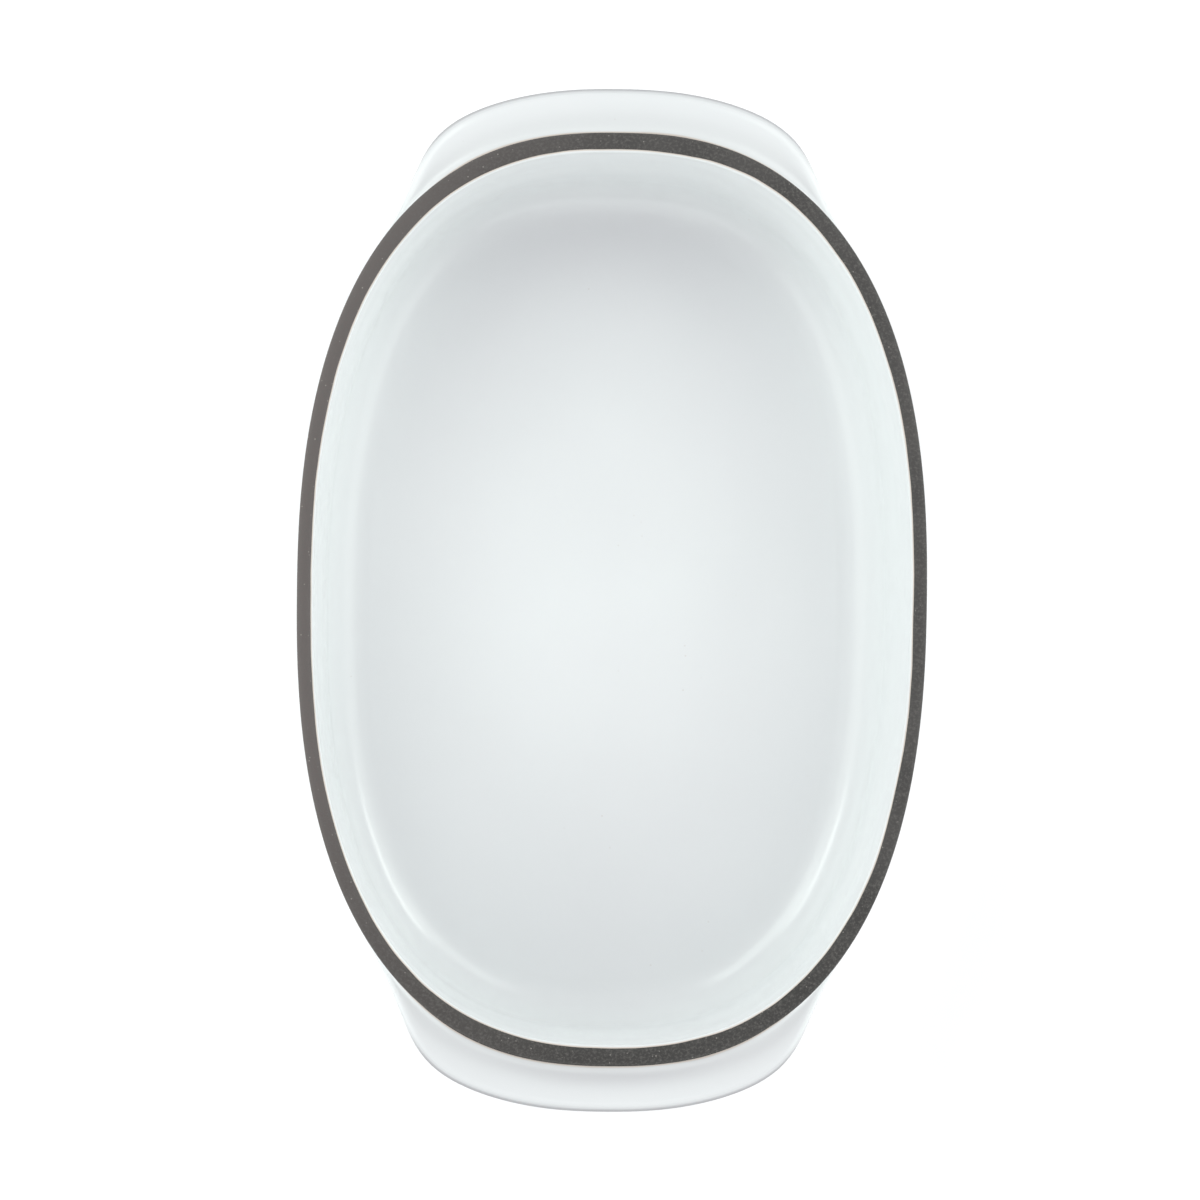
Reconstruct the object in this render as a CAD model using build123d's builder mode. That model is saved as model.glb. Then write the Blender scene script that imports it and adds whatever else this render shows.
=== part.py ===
import math
import os

from build123d import *

# Oval gratin dish of dark fired clay, glazed white, with a lug at each end.
# Millimetres. The dish stands on the XY plane, +Z is up, its long axis is Y,
# and the origin is under the middle of the dish.

# Rim outline: long side arcs, a short flat at each end, and corner arcs that are tangent to both
rim_length = 310.0
rim_width = 210.0
rim_side_radius = 317.0
rim_end_flat = 12.0

# Wall and floor
dish_height = 66.0
side_wall = 4.5
end_wall = 5.8
wall_draft = 7.5
floor_thickness = 6.0
outer_corner_radius = 18.0
inner_corner_radius = 16.0
rim_round_share = 0.42

# Foot ring under the floor
foot_height = 2.5
foot_width = 6.0
foot_inset = 27.0
foot_round_share = 0.3

# Lugs, the ledges that the dish is carried by
lug_reach = 14.5
lug_drop = 7.5
lug_thickness = 8.0
lug_flat_length = 80.0
lug_length = 194.0
lug_bury = 1.0
lug_root_depth = 8.0
lug_stations = 15

# Section of a lug from its upper root round the nose to its lower root:
# share of the reach outwards, and share of the thickness downwards
lug_nose_share = 0.45
lug_profile_shares = (
    (0.00, -0.38),
    (0.13, -0.12),
    (0.30, -0.01),
    (0.62, 0.05),
    (0.88, 0.16),
    (1.00, lug_nose_share),
    (0.88, 0.78),
    (0.62, 0.95),
    (0.33, 1.12),
    (0.14, 1.42),
    (0.00, 1.90),
)

# Glaze
glaze = 0.5
bare_rim = 4.0
bare_foot_edge = 1.0

rim_round = side_wall * rim_round_share
widest_height = dish_height - rim_round
floor_top = foot_height + floor_thickness
lug_top = dish_height - lug_drop
nose_height = lug_top - lug_nose_share * lug_thickness


def wall_inset(height):
    """How far the outside of the wall lies inside the rim outline at a height."""
    return (widest_height - height) * math.tan(math.radians(wall_draft))


def oval(height, side_inset, end_inset):
    """The rim outline at a height, moved inwards at its sides and at its ends."""
    half_width = rim_width / 2 - side_inset
    half_length = rim_length / 2 - end_inset
    half_flat = rim_end_flat / 2
    side_radius = rim_side_radius - side_inset
    # The corner radius that is tangent to the side arc and to the flat end
    reach = half_width - half_flat
    corner_radius = (2 * side_radius * reach - reach**2 - half_length**2) / (side_radius - half_length) / 2
    side_centre = half_width - side_radius
    corner_height = half_length - corner_radius
    turn = math.degrees(math.atan2(corner_height, half_flat - side_centre))
    with BuildSketch(Plane.XY.offset(height)) as outline:
        with BuildLine():
            CenterArc((side_centre, 0), side_radius, -turn, 2 * turn)
            CenterArc((half_flat, corner_height), corner_radius, turn, 90 - turn)
            Line((half_flat, half_length), (-half_flat, half_length))
            CenterArc((-half_flat, corner_height), corner_radius, 90, 90 - turn)
            CenterArc((-side_centre, 0), side_radius, 180 - turn, 2 * turn)
            CenterArc((-half_flat, -corner_height), corner_radius, 180 + turn, 90 - turn)
            Line((-half_flat, -half_length), (half_flat, -half_length))
            CenterArc((half_flat, -corner_height), corner_radius, 270, 90 - turn)
        make_face()
    return outline.sketch


def bowl_form(bottom, side_inset, end_inset, corner_radius):
    """A solid with the wall's slope and a rounded corner, from a flat bottom to the rim."""
    drawn_in = wall_inset(dish_height)
    with BuildPart() as form:
        add(oval(dish_height, drawn_in + side_inset, drawn_in + end_inset))
        extrude(amount=bottom - dish_height, taper=wall_draft)
        fillet(form.edges().group_by(Axis.Z)[0], radius=corner_radius)
    return form.part


def oval_plate(bottom, thickness, inset):
    """A flat oval plate."""
    with BuildPart() as plate:
        add(oval(bottom, inset, inset))
        extrude(amount=thickness)
    return plate.part


def lug_profile(fade, grow):
    """Points of a lug's section: how far out from the rim outline, and how high."""
    stand = lug_bury + wall_inset(nose_height) + lug_reach
    points = []
    for out_share, down_share in lug_profile_shares:
        height = lug_top - down_share * lug_thickness
        points.append(Vector(out_share * fade * stand - wall_inset(height) - lug_bury, height))
    grown = []
    for number, point in enumerate(points):
        before = points[max(number - 1, 0)]
        after = points[min(number + 1, len(points) - 1)]
        along = (after - before).normalized()
        grown.append(point + Vector(-along.Y, along.X) * grow)
    return grown


def lug_form(grow):
    """The back lug with its root sunk into the wall. It fades out along the wall."""
    rim = oval(0, 0, 0).wire()
    tip = rim.param_at_point((0, rim_length / 2, 0))
    with BuildPart() as form:
        for number in range(lug_stations):
            along = lug_length * (number / (lug_stations - 1) - 1 / 2)
            past_flat = max(abs(along) - lug_flat_length / 2, 0)
            fade_share = past_flat / (lug_length / 2 - lug_flat_length / 2)
            profile = lug_profile((1 + math.cos(math.pi * fade_share)) / 2, grow)
            place = (tip + along / rim.length) % 1
            outward = rim.tangent_at(place).cross(Vector(0, 0, 1))
            root = -lug_root_depth
            with BuildSketch(Plane(rim.position_at(place), outward, rim.tangent_at(place) * -1)):
                with BuildLine():
                    Spline(*profile)
                    Polyline(profile[-1], (root, profile[-1].Y), (root, profile[0].Y), profile[0])
                make_face()
        loft()
    return form.part


outer_form = bowl_form(foot_height, 0, 0, outer_corner_radius)
cavity_form = bowl_form(floor_top, side_wall, end_wall, inner_corner_radius)
lined_form = bowl_form(
    floor_top + glaze, side_wall + glaze, end_wall + glaze, inner_corner_radius - glaze
)
coated_form = bowl_form(foot_height - glaze, -glaze, -glaze, outer_corner_radius + glaze)
back_lug_form = lug_form(0)
back_lug_coated = lug_form(glaze)

# Clay body: wall and floor in one, with a rounded bare rim
with BuildPart() as dish_body:
    add(outer_form)
    add(cavity_form, mode=Mode.SUBTRACT)
    fillet(dish_body.edges().group_by(Axis.Z)[-1], radius=rim_round)
dish_body.part.label = "dish_body"

# Clay foot ring, luted to the flat of the floor
with BuildPart() as foot_ring:
    add(oval_plate(0, foot_height, foot_inset))
    add(oval_plate(0, foot_height, foot_inset + foot_width), mode=Mode.SUBTRACT)
    fillet(foot_ring.edges().group_by(Axis.Z)[0], radius=foot_height * foot_round_share)
foot_ring.part.label = "foot_ring"

# Clay lugs, luted to the wall at each end
with BuildPart() as back_lug:
    add(back_lug_form)
    add(outer_form, mode=Mode.SUBTRACT)
back_lug.part.label = "back_lug"

with BuildPart() as front_lug:
    add(back_lug.part)
    mirror(about=Plane.XZ, mode=Mode.REPLACE)
front_lug.part.label = "front_lug"

# Coat of glaze that lines the inside and stops below the rounded rim
with BuildPart() as inside_glaze:
    add(cavity_form)
    add(lined_form, mode=Mode.SUBTRACT)
    split(bisect_by=Plane.XY.offset(widest_height), keep=Keep.BOTTOM)
inside_glaze.part.label = "inside_glaze"

# Coat of glaze over the outside wall and both lugs
with BuildPart() as outside_glaze:
    add(coated_form)
    add(back_lug_coated)
    mirror(about=Plane.XZ)
    add(outer_form, mode=Mode.SUBTRACT)
    add(back_lug.part, mode=Mode.SUBTRACT)
    add(front_lug.part, mode=Mode.SUBTRACT)
    add(oval_plate(0, foot_height, foot_inset - bare_foot_edge), mode=Mode.SUBTRACT)
    split(bisect_by=Plane.XY.offset(dish_height - bare_rim), keep=Keep.BOTTOM)
outside_glaze.part.label = "outside_glaze"

# Coat of glaze in the recess that the foot ring encloses
with BuildPart() as base_glaze:
    add(oval_plate(foot_height - glaze, glaze, foot_inset + foot_width + bare_foot_edge))
base_glaze.part.label = "base_glaze"

os.makedirs("parts", exist_ok=True)
for piece in (dish_body, foot_ring, front_lug, back_lug, inside_glaze, outside_glaze, base_glaze):
    export_step(piece.part, f"parts/{piece.part.label}.step")
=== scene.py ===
# %% [markdown]
# # An oval gratin dish, glazed white over charcoal clay
#
# The dish is one fired pot: a clay wall and floor, a ledge called a lug at each end, a foot ring, and a
# coat of white glaze that stops just short of the rim, so the dark clay shows there as a line.
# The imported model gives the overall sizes. Here the same pot is modelled again as a potter would see
# it, with a soft lip, a slightly uneven glaze line and a wall that isn't perfectly true.

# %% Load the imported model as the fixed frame
import math

import bpy
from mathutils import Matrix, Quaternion, Vector, noise


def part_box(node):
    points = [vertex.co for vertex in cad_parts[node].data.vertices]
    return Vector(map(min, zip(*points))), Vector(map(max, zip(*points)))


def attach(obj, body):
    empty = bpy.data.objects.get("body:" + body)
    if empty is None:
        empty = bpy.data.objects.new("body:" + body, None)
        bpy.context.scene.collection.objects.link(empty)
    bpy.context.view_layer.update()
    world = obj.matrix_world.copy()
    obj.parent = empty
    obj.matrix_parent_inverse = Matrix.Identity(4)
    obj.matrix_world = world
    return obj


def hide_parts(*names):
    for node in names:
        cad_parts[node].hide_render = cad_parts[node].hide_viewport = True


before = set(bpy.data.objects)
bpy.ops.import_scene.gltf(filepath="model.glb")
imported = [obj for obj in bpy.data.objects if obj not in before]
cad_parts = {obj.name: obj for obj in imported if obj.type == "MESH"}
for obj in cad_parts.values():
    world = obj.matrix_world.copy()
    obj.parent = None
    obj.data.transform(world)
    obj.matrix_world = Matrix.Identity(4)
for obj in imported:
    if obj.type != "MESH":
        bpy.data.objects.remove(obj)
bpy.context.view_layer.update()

mm = 0.001
print("nodes of the model:", sorted(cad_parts))

# %% [markdown]
# ## Sizes
#
# What the frame knows is read from it: the width, length and height of the rim, the height of the floor,
# the width of the foot, and the height and reach of the lugs. What it doesn't know, such as the slope
# of a wall, is named once.

# %% Sizes read from the frame
body_low, body_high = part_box("dish_body")
foot_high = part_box("foot_ring")[1]
base_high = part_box("base_glaze")[1]
lug_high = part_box("back_lug")[1]
lining_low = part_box("inside_glaze")[0]
coat_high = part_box("outside_glaze")[1]
rim_top = body_high.z
underside = body_low.z
floor_top = lining_low.z
print("rim top", round(rim_top, 4), "underside", round(underside, 4), "floor", round(floor_top, 4))

# %% Sizes that are chosen, with a little room left for the wobble of the wall
side_room = 0.6 * mm
end_room = 0.65 * mm
half_width = body_high.x - side_room
half_length = body_high.y - end_room
oval_power = 2.45
lip_side = 4.8 * mm
lip_end = 6.1 * mm
lip_rise = 2.1 * mm
lip_fullness = 0.85
lean = math.radians(7.5)
draft = math.tan(lean)
outer_corner = 18 * mm
inner_corner = 16 * mm
glaze_depth = 0.5 * mm
glaze_bite = 0.1 * mm
wobble_strength = 0.9 * mm
rim_room = wobble_strength / 2
nose_room = 0.1 * mm
lug_reach = coat_high.y - half_length - glaze_depth - nose_room
lug_thickness = 8 * mm
widest = rim_top - lip_rise - rim_room
print("lug reach beyond the rim", round(lug_reach, 4))

# %% [markdown]
# ## The oval
#
# The rim is neither an ellipse nor a rounded rectangle but something between: its sides are long and
# quiet, its shoulders full. A drawn circle can't be scaled into that, but a rectangle whose corners are
# bevelled until the bevels meet gives it: the bevel's profile says how full the shoulders are, from a
# straight cut to a square corner. So each half of the pot starts from a plane with bevelled corners.

# %% A flat face in the shape of the rim
corner_segments = 80
bevel_profile = 2 ** (-2 / oval_power)
weld_reach = 0.01 * mm


def flat_oval(name, height):
    """A single face in the outline of the rim, in edit mode and selected."""
    bpy.ops.object.select_all(action="DESELECT")
    bpy.ops.mesh.primitive_plane_add(size=2, location=(0, 0, 0))
    face = bpy.context.object
    face.name = face.data.name = name
    bpy.ops.object.mode_set(mode="EDIT")
    bpy.ops.mesh.select_all(action="SELECT")
    bpy.ops.transform.resize(value=(half_width, half_length, 1))
    bpy.ops.transform.translate(value=(0, 0, height))
    bpy.ops.mesh.bevel(
        affect="VERTICES",
        offset_type="PERCENT",
        offset_pct=50,
        segments=corner_segments,
        profile=bevel_profile,
    )
    bpy.ops.mesh.select_all(action="SELECT")
    bpy.ops.mesh.remove_doubles(threshold=weld_reach)
    bpy.ops.mesh.select_mode(type="FACE")
    bpy.ops.mesh.select_all(action="SELECT")
    return face


# %% [markdown]
# ## Raising the wall ring by ring
#
# A profile is a line from the widest ring of the pot towards the middle of its floor or its underside.
# The face is inset by a little and pushed down by a little, again and again, and each time leaves one
# ring of the wall behind. Each ring also notes how far along the profile it lies, in a vertex group,
# because the glaze later follows that distance.

# %% Steps along a profile
longest_profile = 250 * mm


def mark(group, travel):
    """Notes on the selected ring how far it lies along the profile."""
    piece = bpy.context.object
    if group not in piece.vertex_groups:
        piece.vertex_groups.new(name=group)
    piece.vertex_groups.active_index = piece.vertex_groups[group].index
    bpy.context.tool_settings.vertex_group_weight = travel / longest_profile
    bpy.ops.object.vertex_group_assign()


def press(profile, group, travel):
    """Insets and sinks the selected face along a profile of inset and height."""
    for (inset, height), (next_inset, next_height) in zip(profile, profile[1:]):
        step_in = next_inset - inset
        step_up = next_height - height
        bpy.ops.mesh.inset(thickness=step_in, depth=step_up, use_even_offset=True)
        travel += math.hypot(step_in, step_up)
        mark(group, travel)
    return travel


def lip_shares(share):
    """Shares of the lip's width and rise at a share of the way over it, from outside to inside.

    The outer half stands upright where it starts. The inner half ends as steep as the wall below it.
    """
    if share <= 0.5:
        turn = math.pi * share
        return (1 - math.cos(turn)) / 2, math.sin(turn) ** lip_fullness
    turn = math.pi / 2 + (math.pi / 2 - lean) * (2 * share - 1)
    last = math.sin(lean) ** lip_fullness
    across = (1 - math.cos(turn) / math.cos(lean)) / 2
    return across, (math.sin(turn) ** lip_fullness - last) / (1 - last)


def roll_lip(steps, group):
    """Rolls the selected face over the lip, which is thicker at the ends than at the sides."""
    travel = 0
    before = (1, 1, 0)
    for step in range(1, steps + 1):
        across, rise = lip_shares(step / steps)
        now = (1 - across * lip_side / half_width, 1 - across * lip_end / half_length, rise * lip_rise)
        bpy.ops.mesh.inset(thickness=0, depth=now[2] - before[2])
        shrink = (now[0] / before[0], now[1] / before[1], 1)
        bpy.ops.transform.resize(value=shrink, center_override=(0, 0, 0))
        travel += math.hypot((before[0] - now[0]) * half_width, now[2] - before[2])
        mark(group, travel)
        before = now
    return travel


# %% [markdown]
# ## Profiles
#
# A profile is a list of insets and heights. The wall leans in as it goes down, and a quarter round
# turns it into the floor. The wall of a thrown or pressed pot keeps soft ridges, a fraction of a
# millimetre deep, where fingers or a rib smoothed it.

# %% The corner and the ridges, as insets and heights
corner_steps = 16
ridge_length = 21 * mm
ridge_depth = 0.1 * mm


def corner_points(radius, bottom):
    """A round corner from the wall, which leans in from the widest ring, to a flat bottom."""
    top = bottom + radius * (1 - math.sin(lean))
    centre = (widest - top) * draft + radius * math.cos(lean)
    points = []
    for step in range(corner_steps + 1):
        turn = lean + (math.pi / 2 - lean) * step / corner_steps
        points.append((centre - radius * math.cos(turn), bottom + radius * (1 - math.sin(turn))))
    return points


def ridge(height):
    """Depth of the soft ridges inside the wall at a height."""
    return ridge_depth * math.sin(math.tau * (height - floor_top) / ridge_length)


# %% Profile of the inside, from the lip down and over the floor
wall_foot = floor_top + inner_corner * (1 - math.sin(lean))
wall_steps = 40
smooth_steps = 8
floor_dish = 0.25 * mm
floor_rings = [reach * mm for reach in (4, 9, 16, 25, 36, 46)]
inside = []
for step in range(wall_steps):
    height = widest - (widest - wall_foot) * step / wall_steps
    fade = min(1, step / smooth_steps)
    inside.append(((widest - height) * draft + fade * ridge(height), height))
inside += corner_points(inner_corner, floor_top)
floor_start = inside[-1][0]
for reach in floor_rings:
    inside.append((floor_start + reach, floor_top - floor_dish * reach / floor_rings[-1]))
print("inside profile:", len(inside), "rings, floor starts", round(floor_start, 4), "in from the lip")

# %% [markdown]
# ## Section of the lugs
#
# A lug is a ledge as thick as a finger. Its section starts softly at the wall, runs out almost level,
# turns round a blunt nose and comes back in a hollow curve. Each point of the section is a share of the
# reach outwards and a share of the thickness downwards, and a smooth curve is drawn through them.

# %% A smooth curve through the section's points
nose_drop_share = 0.45
lug_section_shares = (
    (0.00, -0.38),
    (0.13, -0.12),
    (0.30, -0.01),
    (0.62, 0.05),
    (0.88, 0.16),
    (1.00, nose_drop_share),
    (0.88, 0.78),
    (0.62, 0.95),
    (0.33, 1.12),
    (0.14, 1.42),
    (0.00, 1.90),
)
lug_root = lug_high.z
lug_top = lug_root + lug_section_shares[0][1] * lug_thickness
lug_nose = lug_top - nose_drop_share * lug_thickness
lug_stand = lug_reach + (widest - lug_nose) * draft


def between(before, start, end, after, share):
    """A value on the smooth curve from start to end, led by the value before them and the one after."""
    slope = end - before
    bend = 2 * before - 5 * start + 4 * end - after
    twist = 3 * start - before - 3 * end + after
    return (2 * start + slope * share + bend * share**2 + twist * share**3) / 2


def through(points, spans):
    """Points on a Catmull-Rom curve through the given ones."""
    padded = [points[0], *points, points[-1]]
    curve = []
    for corners in zip(padded, padded[1:], padded[2:], padded[3:]):
        for number in range(spans):
            curve.append(tuple(between(*values, number / spans) for values in zip(*corners)))
    curve.append(points[-1])
    return curve


section_spans = 4
lug_section = []
for out, down in through(lug_section_shares, section_spans):
    lug_section.append((out, lug_top - down * lug_thickness))
print("lug section:", len(lug_section), "points, nose at height", round(lug_nose, 4))

# %% Profile of the outside, from the widest ring down past the lugs and over the underside
least_drop = 0.03 * mm
band_drops = [drop * mm for drop in (0.4, 0.8, 1.1, 1.3, 1.5, 1.7, 1.9, 2.1, 2.3)]
low_wall_steps = 9
bare_above_foot = 1 * mm
line_rings = 13
line_step = 0.2 * mm
line_lead = 1.2 * mm
last_ring = 12 * mm
outside = [(0, widest)]
for drop in band_drops:
    outside.append((drop * draft, widest - drop))
last_height = outside[-1][1]
for out, height in lug_section:
    if height < last_height - least_drop:
        outside.append(((widest - height) * draft, height))
        last_height = height
lug_foot = lug_section[-1][1]
corner_start = underside + outer_corner * (1 - math.sin(lean))
for step in range(1, low_wall_steps):
    height = lug_foot + (corner_start - lug_foot) * step / low_wall_steps
    outside.append(((widest - height) * draft, height))
outside += corner_points(outer_corner, underside)
flat_start = outside[-1][0]
foot_line = half_width - foot_high.x - bare_above_foot
base_line = half_width - base_high.x
for line in (foot_line, base_line):
    for ring in range(line_rings):
        outside.append((line + ring * line_step - line_lead, underside))
outside.append((base_line + last_ring, underside))
print("outside profile:", len(outside), "rings, flat from", round(flat_start, 4))

# %% [markdown]
# ## The clay bowl
#
# The bowl is made twice from the same outline: once over the lip and down the inside, once down the
# outside and under the foot. The two halves share the ring where the pot is widest, so joining them and
# merging that ring closes the clay.

# %% Raise the two halves and join them
lip_steps = 26
seam_reach = 0.004 * mm
outer_half = flat_oval("clay_bowl", widest)
outside_length = press(outside, "outside", 0)
bpy.ops.object.mode_set(mode="OBJECT")
inner_half = flat_oval("inner_half", widest)
lip_length = roll_lip(lip_steps, "inside")
press(inside, "inside", lip_length)
bpy.ops.object.mode_set(mode="OBJECT")


def merge_and_face_out(piece):
    """Merges the rings that meet and turns all faces outwards."""
    bpy.ops.object.select_all(action="DESELECT")
    bpy.context.view_layer.objects.active = piece
    piece.select_set(True)
    bpy.ops.object.mode_set(mode="EDIT")
    bpy.ops.mesh.select_all(action="SELECT")
    bpy.ops.mesh.remove_doubles(threshold=seam_reach)
    bpy.ops.mesh.normals_make_consistent(inside=False)
    bpy.ops.object.mode_set(mode="OBJECT")
    bpy.ops.object.shade_smooth()


bpy.ops.object.select_all(action="DESELECT")
inner_half.select_set(True)
outer_half.select_set(True)
bpy.context.view_layer.objects.active = outer_half
bpy.ops.object.join()
clay_bowl = outer_half
merge_and_face_out(clay_bowl)
print("clay bowl:", len(clay_bowl.data.polygons), "faces, lip", round(lip_length, 4), "m round")

# %% [markdown]
# ## Reading where a point of the pot lies
#
# The coats of glaze and the lugs all follow the clay. So a few small questions are asked of each point:
# how far along the profile is it, on which side, and which way is straight out from the wall.

# %% Questions asked of a point
def travel_of(piece, group):
    """How far along the profile each point lies, or nothing for a point on the other side."""
    index = piece.vertex_groups[group].index
    found = {}
    for point in piece.data.vertices:
        for member in point.groups:
            if member.group == index:
                found[point.index] = member.weight * longest_profile
    return found


def straight_out(place):
    """The level direction away from the oval's edge."""
    across = math.copysign(abs(place.x / half_width) ** (oval_power - 1), place.x) / half_width
    along = math.copysign(abs(place.y / half_length) ** (oval_power - 1), place.y) / half_length
    return Vector((across, along, 0)).normalized()


def smooth_step(low, high, value):
    """Rises from 0 at low to 1 at high without a corner."""
    share = min(max((value - low) / (high - low), 0), 1)
    return share * share * (3 - 2 * share)


# %% [markdown]
# ## Lugs
#
# On the real pot each lug is a roll of clay pressed onto the wall and smoothed in, so seen from above
# its edge swings out of the wall in one line, runs level round the end and swings back. It could be a
# separate ledge joined by a boolean, but then the seam would need smoothing. Pushing the wall's own
# rings outwards keeps one even surface, which is what the glaze then flows over.

# %% Push the wall out into the two lugs
lug_half_width = 62 * mm
lug_shoulder_power = 11
lug_fade_from = 66 * mm
lug_fade_to = 92 * mm
lugs_begin = half_length / 3
least_width = 1 * mm
least_gap = 0.001 * mm
height_digits = 7


def lug_share_at(height):
    """Share of the full reach that the section has at a height."""
    for (out, high), (next_out, low) in zip(lug_section, lug_section[1:]):
        if low <= height <= high:
            return out + (next_out - out) * (high - height) / max(high - low, least_gap)
    return 0


def lug_fade_at(place):
    """Share of the reach left at a place round the rim: all of it at the ends, none at the sides."""
    scale = half_width / max(half_width - (widest - place.z) * draft, least_width)
    across = abs(place.x) * scale
    if abs(place.y) < lugs_begin:
        return 0
    narrowing = 1 + (across / lug_half_width) ** lug_shoulder_power
    return (1 - smooth_step(lug_fade_from, lug_fade_to, across)) / narrowing


def push_out_lugs(piece, points):
    """Moves the points that lie at a lug's height outwards."""
    shares = {}
    moved = 0
    for index in points:
        point = piece.data.vertices[index]
        height = round(point.co.z, height_digits)
        if height not in shares:
            shares[height] = lug_share_at(height)
        push = shares[height] * lug_fade_at(point.co) * lug_stand
        if push > 0:
            point.co += straight_out(point.co) * push
            moved += 1
    return moved


# %% [markdown]
# ## Coats of glaze
#
# Glaze is poured or dipped, so it is a thin skin of even depth that follows the clay, thins out to
# nothing at its edge and ends in a line that wanders a little. That is made as it sounds: the clay's own
# faces are copied, sunk a hair into the clay and thickened outwards by Solidify, with a vertex group
# that says how deep the coat is. Where the depth runs out, the skin dips under the clay and the line
# where it does is the edge of the glaze.

# %% Copy a region of the clay
def copy_region(name, group, first, last):
    """A new piece from the clay's faces between two distances along a profile."""
    bpy.ops.object.select_all(action="DESELECT")
    clay_bowl.select_set(True)
    bpy.context.view_layer.objects.active = clay_bowl
    bpy.ops.object.duplicate()
    piece = bpy.context.object
    piece.name = piece.data.name = name
    travel = travel_of(piece, group)
    bpy.ops.object.mode_set(mode="EDIT")
    bpy.ops.mesh.select_mode(type="VERT")
    bpy.ops.mesh.select_all(action="DESELECT")
    bpy.ops.object.mode_set(mode="OBJECT")
    for point in piece.data.vertices:
        point.select = not first <= travel.get(point.index, -1) <= last
    bpy.ops.object.mode_set(mode="EDIT")
    bpy.ops.mesh.delete(type="VERT")
    bpy.ops.object.mode_set(mode="OBJECT")
    return piece


# %% Depth of a coat near its edge
wander_size = 24 * mm
finer_share = 0.35
finer_times = 3.1
ramp_lead = 0.35
swell_share = 0.14
swell_place = 1.6
past_edge = 1.1 * mm


def wander(place, reach, size, seed):
    """How far the glaze line strays at a place, by one soft noise and a finer one over it."""
    spot = Vector((place.x / size, place.y / size, seed))
    return reach * (noise.noise(spot) + finer_share * noise.noise(spot * finer_times))


def depth_share(reached, place, edges, ramp):
    """Share of the full depth at a place. The swell fills it up a little before the ramp ends."""
    share = 1
    for line, side, reach, seed in edges:
        past = (reached - line) * side + wander(place, reach, wander_size, seed)
        swell = 1 + swell_share * math.exp(-(((past - swell_place * ramp) / ramp) ** 2))
        share *= smooth_step(-ramp_lead * ramp, ramp, past) * swell
    return min(share, 1)


def coat(piece, group, edges, ramp):
    """Thickens a copied region into a coat that thins out to nothing at its edges.

    An edge is its distance along the profile, the side on which the coat lies, how far the line
    wanders and a number of its own for the noise.
    """
    depth = piece.vertex_groups.new(name="depth")
    travel = travel_of(piece, group)
    layer = piece.data.attributes.new("glaze_depth", "FLOAT", "POINT")
    for index, reached in travel.items():
        share = depth_share(reached, piece.data.vertices[index].co, edges, ramp)
        depth.add([index], share, "REPLACE")
        layer.data[index].value = share
    bpy.ops.object.select_all(action="DESELECT")
    piece.select_set(True)
    bpy.context.view_layer.objects.active = piece
    sunk = piece.modifiers.new("sunk", "DISPLACE")
    sunk.strength = -glaze_bite
    sunk.mid_level = 0
    skin = piece.modifiers.new("skin", "SOLIDIFY")
    skin.thickness = glaze_depth + glaze_bite
    skin.offset = 1
    skin.vertex_group = "depth"
    skin.thickness_vertex_group = 0.0
    for modifier in (sunk.name, skin.name):
        bpy.ops.object.modifier_apply(modifier=modifier)
    bpy.ops.object.shade_smooth()
    print(piece.name, len(piece.data.polygons), "faces")


# %% Coat inside, which ends where the lip turns down into the wall
inside_ramp = 0.9 * mm
inside_line = 0.85 * lip_length
inside_wander = 0.55 * mm
inside_seed = 3.7
inside_coat = copy_region("inside_coat", "inside", lip_length / 2, longest_profile)
coat(inside_coat, "inside", [(inside_line, 1, inside_wander, inside_seed)], inside_ramp)

# %% Coat outside, over the wall and both lugs
outside_ramp = 0.8 * mm
outside_start = 4.4 * mm
outside_first = 0.3 * outside_start
outside_wander = 0.25 * mm
outside_seed = 8.1
foot_travel = outside_length - (outside[-1][0] - foot_line)
foot_wander = 0.4 * mm
foot_seed = 5.3
outside_coat = copy_region("outside_coat", "outside", outside_first, foot_travel + past_edge)
moved = push_out_lugs(outside_coat, range(len(outside_coat.data.vertices)))
print("points pushed out into the lugs:", moved)
outside_edges = [
    (outside_start, 1, outside_wander, outside_seed),
    (foot_travel, -1, foot_wander, foot_seed),
]
coat(outside_coat, "outside", outside_edges, outside_ramp)

# %% Coat under the base, inside the foot ring
base_travel = outside_length - (outside[-1][0] - base_line)
base_wander = 0.5 * mm
base_seed = 2.9
base_coat = copy_region("base_coat", "outside", base_travel - past_edge, longest_profile)
coat(base_coat, "outside", [(base_travel, 1, base_wander, base_seed)], outside_ramp)

# %% [markdown]
# ## Painted shade on the nose of the lugs
#
# The nose of each lug turns down at its edge, and the shade there is painted as a thin grey line. It
# could be painted by height in the finish, but that would draw it on the wall too. So the outside coat
# alone notes how near each point lies to that line.

# %% Mark the line of painted shade on the outside coat
nose_half_height = 1.2 * mm
nose_line = lug_nose + 0.9 * mm
nose_fade_from = 0.1
nose_fade_to = 0.6
nose_shade_layer = outside_coat.data.attributes.new("nose", "FLOAT", "POINT")
# Each point's share of the painted shade line along the nose of a lug
for point in outside_coat.data.vertices:
    beside = math.exp(-(((point.co.z - nose_line) / nose_half_height) ** 2))
    on_lug = smooth_step(nose_fade_from, nose_fade_to, lug_fade_at(point.co))
    nose_shade_layer.data[point.index].value = beside * on_lug
print("thin glaze line at height", round(nose_line, 4))

# %% [markdown]
# ## The clay of the lugs
#
# Under the glaze each lug is a roll of clay pressed onto the wall. It doesn't show, but the pot would
# not be whole without it: a patch of the wall is copied, given a little depth into the wall, and its
# outer side is pushed out as the glaze was.

# %% The two rolls of clay
least_fade = 0.004
root_depth = 1.5 * mm
below_lug = 0.1 * mm
lug_travels = []
far = 0
for (inset, height), (next_inset, next_height) in zip(outside, outside[1:]):
    far += math.hypot(next_inset - inset, next_height - height)
    if lug_foot - below_lug <= next_height <= lug_section[0][1]:
        lug_travels.append(far)


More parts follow.
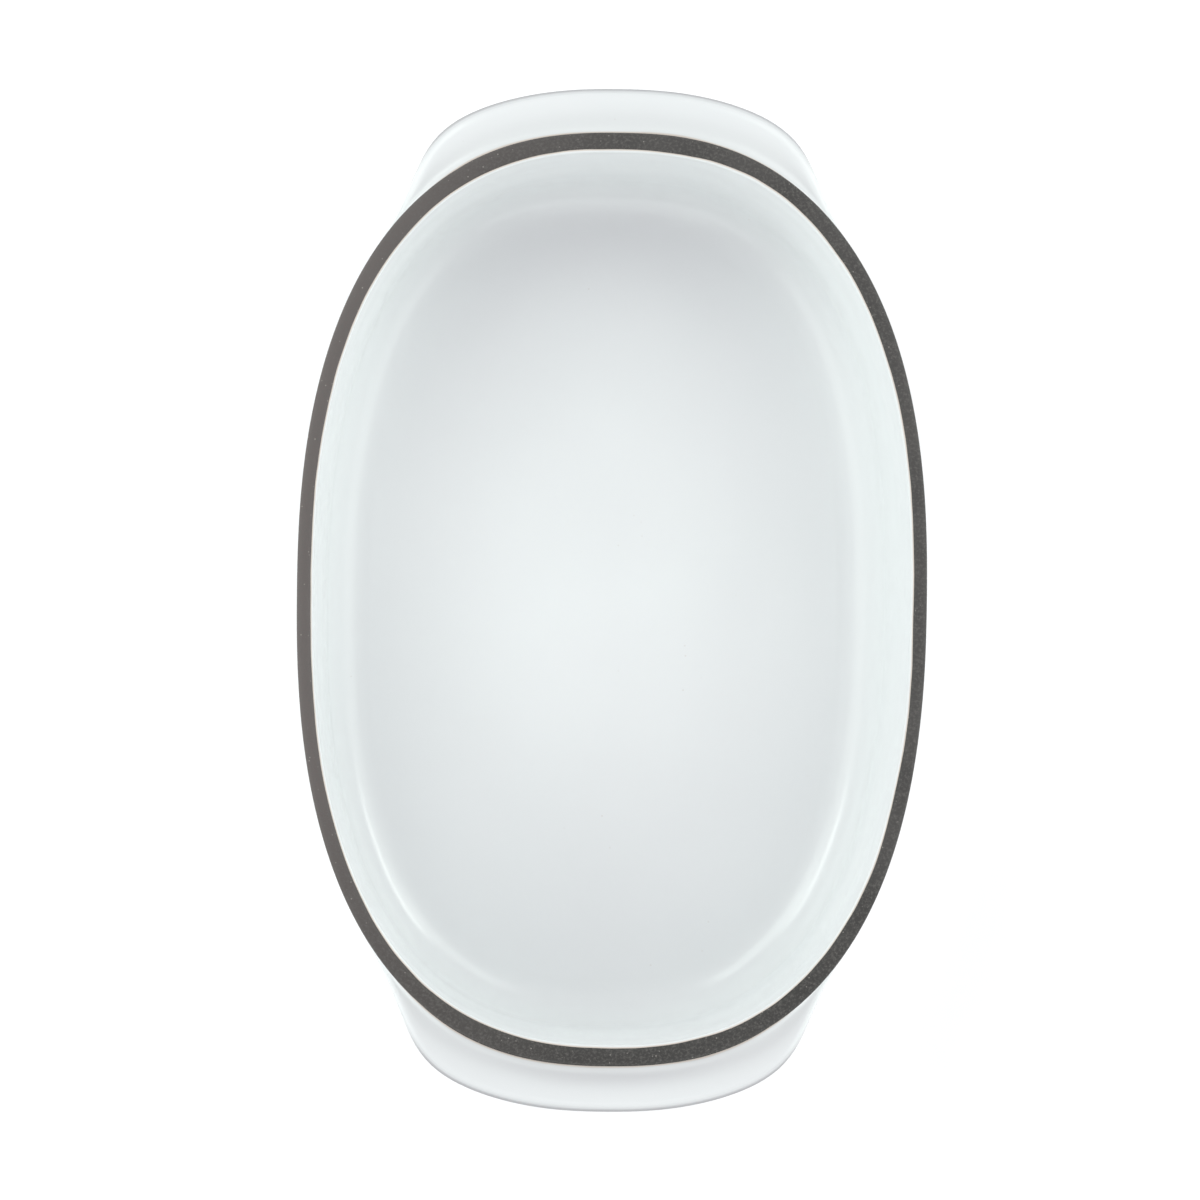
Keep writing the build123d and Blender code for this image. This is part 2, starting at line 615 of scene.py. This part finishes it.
def clay_lug(name, end):
    """The clay of one lug, with its root in the wall. End is 1 at the back and -1 at the front."""
    piece = copy_region(name, "outside", lug_travels[0], lug_travels[-1])
    bpy.ops.object.mode_set(mode="EDIT")
    bpy.ops.mesh.select_all(action="DESELECT")
    bpy.ops.object.mode_set(mode="OBJECT")
    for point in piece.data.vertices:
        point.select = point.co.y * end < 0 or lug_fade_at(point.co) < least_fade
    bpy.ops.object.mode_set(mode="EDIT")
    bpy.ops.mesh.delete(type="VERT")
    bpy.ops.object.mode_set(mode="OBJECT")
    outer = range(len(piece.data.vertices))
    root = piece.modifiers.new("root", "SOLIDIFY")
    root.thickness = root_depth
    root.offset = -1
    bpy.ops.object.modifier_apply(modifier=root.name)
    push_out_lugs(piece, outer)
    bpy.ops.object.shade_smooth()
    print(name, len(piece.data.polygons), "faces")
    return piece


back_lug_clay = clay_lug("back_lug_clay", 1)
front_lug_clay = clay_lug("front_lug_clay", -1)

# %% [markdown]
# ## The hand of the potter
#
# A fired pot is never quite true: it eases out of round as it dries and again in the kiln. One soft
# field of noise moves the clay and its coats alike, so they stay together. A Displace modifier reads the
# field at each point's place, and a vertex group keeps the underside still, because the pot stands on
# it. The field swings about its middle, so along each axis a point moves by at most half its strength.

# %% One field of noise for all pieces
kiln_field = bpy.data.textures.new("kiln_field", "CLOUDS")
kiln_field.noise_scale = 120 * mm
kiln_field.noise_depth = 0
kiln_field.cloud_type = "COLOR"
still_below = 8 * mm
free_above = 26 * mm


def ease_out_of_round(piece):
    """Moves a piece by the field, more towards the rim."""
    upright = piece.vertex_groups.new(name="upright")
    for point in piece.data.vertices:
        upright.add([point.index], smooth_step(still_below, free_above, point.co.z), "REPLACE")
    bpy.ops.object.select_all(action="DESELECT")
    piece.select_set(True)
    bpy.context.view_layer.objects.active = piece
    eased = piece.modifiers.new("eased", "DISPLACE")
    eased.texture = kiln_field
    eased.texture_coords = "LOCAL"
    eased.direction = "RGB_TO_XYZ"
    eased.space = "LOCAL"
    eased.mid_level = 0.5
    eased.strength = wobble_strength
    eased.vertex_group = upright.name
    before = [point.co.copy() for point in piece.data.vertices]
    bpy.ops.object.modifier_apply(modifier=eased.name)
    moved = max((point.co - old).length for point, old in zip(piece.data.vertices, before))
    print(piece.name, "eased by at most", round(moved / mm, 2), "mm")


for piece in (clay_bowl, inside_coat, outside_coat, back_lug_clay, front_lug_clay):
    ease_out_of_round(piece)

# %% [markdown]
# ## Maths for the finishes
#
# A finish is a small network of nodes. Drawing it by hand hides the arithmetic, so one class stands for
# a socket and lets Python's own signs add the Math nodes, and one method adds any other node.

# %% Sockets that can be added, multiplied and subtracted
class Level:
    """A value that varies over the surface."""

    def __init__(self, finish, socket):
        self.finish = finish
        self.socket = socket

    def __add__(self, other):
        return self.finish.maths("ADD", self, other)

    def __mul__(self, other):
        return self.finish.maths("MULTIPLY", self, other)

    def __sub__(self, other):
        return self.finish.maths("SUBTRACT", self, other)

    def __rsub__(self, other):
        return self.finish.maths("SUBTRACT", other, self)

    __radd__ = __add__
    __rmul__ = __mul__


class Finish:
    """A material that is built node by node."""

    def __init__(self, name):
        self.material = bpy.data.materials.new(name)
        self.material.use_nodes = True
        self.tree = self.material.node_tree
        self.tree.nodes.clear()

    def node(self, kind, settings, sockets, output=0):
        """Adds a node with its settings and its sockets' values or links."""
        made = self.tree.nodes.new(kind)
        for setting, value in settings.items():
            setattr(made, setting, value)
        for socket, value in sockets.items():
            if isinstance(value, Level):
                self.tree.links.new(value.socket, made.inputs[socket])
            else:
                made.inputs[socket].default_value = value
        return Level(self, made.outputs[output])

    def maths(self, operation, first, second):
        """A Math node between two levels or numbers."""
        return self.node("ShaderNodeMath", {"operation": operation}, {0: first, 1: second})

    def mix(self, share, low, high):
        """A colour between two others. Sockets 6 and 7 and output 2 are the node's colours."""
        return self.node("ShaderNodeMix", {"data_type": "RGBA"}, {0: share, 6: low, 7: high}, 2)

    def place(self):
        """Where the point lies on its piece."""
        return self.node("ShaderNodeTexCoord", {}, {}, "Object")

    def along(self, way):
        """How far the place lies in one direction."""
        settings = {"operation": "DOT_PRODUCT"}
        return self.node("ShaderNodeVectorMath", settings, {0: self.place(), 1: way}, "Value")

    def cloud(self, size, detail=2.0, rough=0.5):
        """Soft noise whose lumps are about as large as the given size."""
        return self.node(
            "ShaderNodeTexNoise",
            {"noise_dimensions": "3D"},
            {"Vector": self.place(), "Scale": 1 / size, "Detail": detail, "Roughness": rough},
        )

    def specks(self, spacing):
        """Distance from scattered points."""
        return self.node("ShaderNodeTexVoronoi", {}, {"Vector": self.place(), "Scale": 1 / spacing})

    def ramp(self, level, low, high):
        """Rises smoothly from 0 to 1 between two values of a level."""
        settings = {"interpolation_type": "SMOOTHSTEP"}
        return self.node("ShaderNodeMapRange", settings, {0: level, 1: low, 2: high})

    def bumps(self, height, distance, under=None):
        """Small bumps of a height, over others if given."""
        sockets = {"Height": height, "Distance": distance, "Strength": 1.0}
        if under:
            sockets["Normal"] = under
        return self.node("ShaderNodeBump", {}, sockets)

    def surface(self, sockets):
        """The shader that ends the network."""
        shader = self.node("ShaderNodeBsdfPrincipled", {}, sockets, "BSDF")
        out = self.tree.nodes.new("ShaderNodeOutputMaterial")
        self.tree.links.new(shader.socket, out.inputs["Surface"])
        return self.material


# %% [markdown]
# ## White glaze
#
# The glaze is glass that has been made opaque, a white with a trace of blue and green. It is smooth but
# not flat: it lies in long shallow ripples, and here and there a grain of iron shows as a faint speck.
# Where the coat thins out at its edge the clay warms it, so the white turns to a thin tan line. A thin
# grey line of painted shade runs along the nose of each lug.

# %% The glaze
glaze_cool = (0.785, 0.815, 0.815, 1)
glaze_pale = (0.80, 0.828, 0.828, 1)
iron_speck = (0.58, 0.54, 0.49, 1)
thin_tan = (0.52, 0.41, 0.31, 1)
# Painted shade: the grey of the line along the lugs' noses, where their edge turns down
nose_shade_grey = (0.18, 0.17, 0.19, 1)
drift_size = 70 * mm
speck_patch_size = 21 * mm
speck_spacing = 5.5 * mm
polish_size = 30 * mm
ripple_size = 16 * mm
ripple_depth = 0.015 * mm
speck_strength = 0.3
tan_strength = 0.65
nose_shade_strength = 0.8
best_polish = 0.16
uneven_polish = 0.08
dull_where_thin = 0.2
dull_on_nose = 0.3
glaze_index = 1.5


def glaze_finish():
    """White that drifts a little, with specks, tan where it is thin and painted grey shade on the lugs'
    noses.
    """
    finish = Finish("white_glaze")
    depth = finish.node("ShaderNodeAttribute", {"attribute_name": "glaze_depth"}, {}, "Fac")
    nose = finish.node("ShaderNodeAttribute", {"attribute_name": "nose"}, {}, "Fac")
    body = finish.mix(finish.ramp(finish.cloud(drift_size), 0.3, 0.7), glaze_cool, glaze_pale)
    patches = finish.ramp(finish.cloud(speck_patch_size), 0.56, 0.66)
    speck = (1 - finish.ramp(finish.specks(speck_spacing), 0.035, 0.075)) * patches
    dotted = finish.mix(speck * speck_strength, body, iron_speck)
    thin = 1 - finish.ramp(depth, 0.25, 0.8)
    edged = finish.mix(thin * tan_strength, dotted, thin_tan)
    polish = best_polish + uneven_polish * finish.cloud(polish_size)
    return finish.surface(
        {
            # The grey on the lugs' noses is painted shade
            "Base Color": finish.mix(nose * nose_shade_strength, edged, nose_shade_grey),
            "Roughness": polish + dull_where_thin * thin + dull_on_nose * nose,
            "Normal": finish.bumps(finish.cloud(ripple_size, 1.0), ripple_depth),
            "IOR": glaze_index,
        }
    )


# %% [markdown]
# ## Charcoal clay
#
# The bare clay is dark and dry. Fired at high heat it is dense, but its skin keeps the grit it was made
# with: fine sand that catches the light, small pale grains, and soft darker clouds. The ground also
# drifts
# along both axes: paler and warmer towards the left, darker towards the front.

# %% The clay
clay_dark = (0.048, 0.046, 0.044, 1)
clay_mid = (0.066, 0.063, 0.060, 1)
# Ground colours towards the left, where it is paler and warmer, and towards the front, where it is
# darker
clay_pale_left = (0.135, 0.118, 0.112, 1)
clay_dark_front = (0.024, 0.025, 0.022, 1)
sand_grey = (0.115, 0.11, 0.103, 1)
pale_grain = (0.36, 0.34, 0.31, 1)
clay_cloud_size = 30 * mm
pale_left_from = 20 * mm
pale_left_to = -110 * mm
dark_front_from = -40 * mm
dark_front_to = -160 * mm
sand_size = 0.9 * mm
sand_depth = 0.12 * mm
grain_spacing = 1.9 * mm
grain_patch_size = 6 * mm
lump_size = 4 * mm
lump_depth = 0.12 * mm
pale_left_strength = 0.85
dark_front_strength = 0.5
grain_strength = 0.7
least_roughness = 0.62
sand_roughness = 0.25
clay_index = 1.45


def clay_finish():
    """Dark grey that is warmer to the left and darker to the front, with sand and pale grains."""
    finish = Finish("charcoal_clay")
    even = finish.mix(finish.ramp(finish.cloud(clay_cloud_size, 3.0), 0.3, 0.7), clay_dark, clay_mid)
    # The ground turns paler and warmer towards the left and darker towards the front
    to_left = finish.ramp(finish.along((1, 0, 0)), pale_left_from, pale_left_to)
    to_front = finish.ramp(finish.along((0, 1, 0)), dark_front_from, dark_front_to)
    paled_left = finish.mix(to_left * pale_left_strength, even, clay_pale_left)
    ground = finish.mix(to_front * dark_front_strength, paled_left, clay_dark_front)
    sand = finish.cloud(sand_size, 4.0, 0.7)
    gritty = finish.mix(finish.ramp(sand, 0.42, 0.75), ground, sand_grey)
    grain = finish.specks(grain_spacing)
    patches = finish.ramp(finish.cloud(grain_patch_size), 0.45, 0.6)
    pale = (1 - finish.ramp(grain, 0.07, 0.16)) * patches
    rough_skin = finish.bumps(sand, sand_depth)
    return finish.surface(
        {
            "Base Color": finish.mix(pale * grain_strength, gritty, pale_grain),
            "Roughness": least_roughness + sand_roughness * sand,
            "Normal": finish.bumps(finish.cloud(lump_size), lump_depth, rough_skin),
            "IOR": clay_index,
        }
    )


white_glaze = glaze_finish()
charcoal_clay = clay_finish()
print("finishes:", white_glaze.name, charcoal_clay.name)

# %% [markdown]
# ## Tying the pieces to the imported model
#
# Each piece gets its finish and is tied to the one body of the pot, and the imported node that it stands
# for is hidden. The foot ring is plain and right as it is, so the imported model's own ring is kept and
# only gets the clay.

# %% Give every piece its finish and its body, and hide the node that it stands for
def dress(piece, material, slot, *nodes):
    """Gives a piece its finish and ties it to the frame."""
    piece.data.materials.clear()
    piece.data.materials.append(material)
    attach(piece, "root")
    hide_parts(*nodes)


dress(clay_bowl, charcoal_clay, "bare_clay", "dish_body")
dress(back_lug_clay, charcoal_clay, "bare_clay", "back_lug")
dress(front_lug_clay, charcoal_clay, "bare_clay", "front_lug")
dress(inside_coat, white_glaze, "white_glaze", "inside_glaze")
dress(outside_coat, white_glaze, "white_glaze", "outside_glaze")
dress(base_coat, white_glaze, "white_glaze", "base_glaze")
foot_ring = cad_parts["foot_ring"]
foot_ring.data.materials.clear()
foot_ring.data.materials.append(charcoal_clay)
print("foot ring kept from the model, with", charcoal_clay.name)

# %% [markdown]
# ## Table, light and camera
#
# The dish stands on a white table that glows a little, as a light table does, so the ground around it
# stays white. Large softboxes stand low on three sides for the walls, and smaller ones higher up for the
# floor. Two more stand low at the sides, turned a little to the back, for the thin streaks in the
# corners, and a small, very faint one overhead is aimed at the middle of the floor.

# %% The table
table_size = 12
table_white = (0.8, 0.8, 0.8, 1)
table_roughness = 0.9
glow_colour = (1, 1, 1, 1)
table_glow = 0.2
bpy.ops.object.select_all(action="DESELECT")
bpy.ops.mesh.primitive_plane_add(size=table_size, location=(0, 0, 0))
table = bpy.context.object
table.name = "table"
paper = Finish("paper_white")
table.data.materials.append(
    paper.surface(
        {
            "Base Color": table_white,
            "Roughness": table_roughness,
            "Emission Color": glow_colour,
            "Emission Strength": table_glow,
        }
    )
)
print("table", table_size, "m across")

# %% The room
sky_tint = (0.985, 0.90, 0.985, 1)
sky_strength = 0.55
room = bpy.data.worlds.new("studio")
room.use_nodes = True
room.node_tree.nodes["Background"].inputs["Color"].default_value = sky_tint
room.node_tree.nodes["Background"].inputs["Strength"].default_value = sky_strength
bpy.context.scene.world = room
bpy.context.scene.view_settings.view_transform = "Standard"
print("sky strength", sky_strength)

# %% Softboxes round the table, all of one tint
near_by = 1.3
far_off = 1.6
box_aim = Vector((0, 0, 40 * mm))
box_tint = (0.915, 1.0, 0.94)
spot_spread = math.radians(9)


def softbox(name, azimuth, elevation, distance, width, height, power):
    """A flat soft light that faces the dish and stays out of the picture."""
    turn = math.radians(azimuth)
    rise = math.radians(elevation)
    way = Vector((math.cos(rise) * math.cos(turn), math.cos(rise) * math.sin(turn), math.sin(rise)))
    bpy.ops.object.light_add(type="AREA", location=box_aim + way * distance)
    light = bpy.context.object
    light.name = name
    light.data.shape = "RECTANGLE"
    light.data.size = width
    light.data.size_y = height
    light.data.energy = power
    light.data.color = box_tint
    light.rotation_mode = "QUATERNION"
    light.rotation_quaternion = way.to_track_quat("Z", "Y")
    light.visible_camera = False
    return light


softbox("low_right", azimuth=0, elevation=24, distance=far_off, width=2.2, height=1.2, power=10.2)
softbox("low_left", azimuth=180, elevation=24, distance=far_off, width=2.2, height=1.2, power=9.5)
softbox("low_front", azimuth=270, elevation=16, distance=far_off, width=2.2, height=0.8, power=7.8)
softbox("back_right", azimuth=45, elevation=42, distance=near_by, width=0.8, height=0.55, power=2.6)
softbox("back_left", azimuth=135, elevation=42, distance=near_by, width=0.8, height=0.55, power=3.7)
softbox("front", azimuth=270, elevation=42, distance=near_by, width=0.8, height=0.55, power=1.2)
softbox("streak_right", azimuth=25, elevation=21, distance=near_by, width=0.5, height=0.24, power=2.2)
softbox("streak_left", azimuth=155, elevation=21, distance=near_by, width=0.5, height=0.24, power=2)
spot = softbox("spot", azimuth=38, elevation=86, distance=near_by, width=0.12, height=0.12, power=0.001)
spot.data.spread = spot_spread

# %% The camera, above the dish and leaning a little to the left and to the front
camera_distance = 2.5
lean_left = math.radians(3.07)
lean_front = math.radians(2.46)
view_width = 0.3963
roll = 0.0145
sensor_width = 36
aim_left = 4.25 * mm
aim_front = 0.95 * mm
aim = Vector((-aim_left, -aim_front, rim_top))
back = Vector((-math.tan(lean_left), -math.tan(lean_front), 1)).normalized()
bpy.ops.object.camera_add(location=aim + back * camera_distance)
camera = bpy.context.object
camera.data.sensor_width = sensor_width
camera.data.lens = sensor_width * camera_distance / view_width
camera.rotation_mode = "QUATERNION"
camera.rotation_quaternion = Vector((0, 0, 1)).rotation_difference(back) @ Quaternion((0, 0, 1), roll)
bpy.context.scene.camera = camera
print("camera lens", round(camera.data.lens, 1))
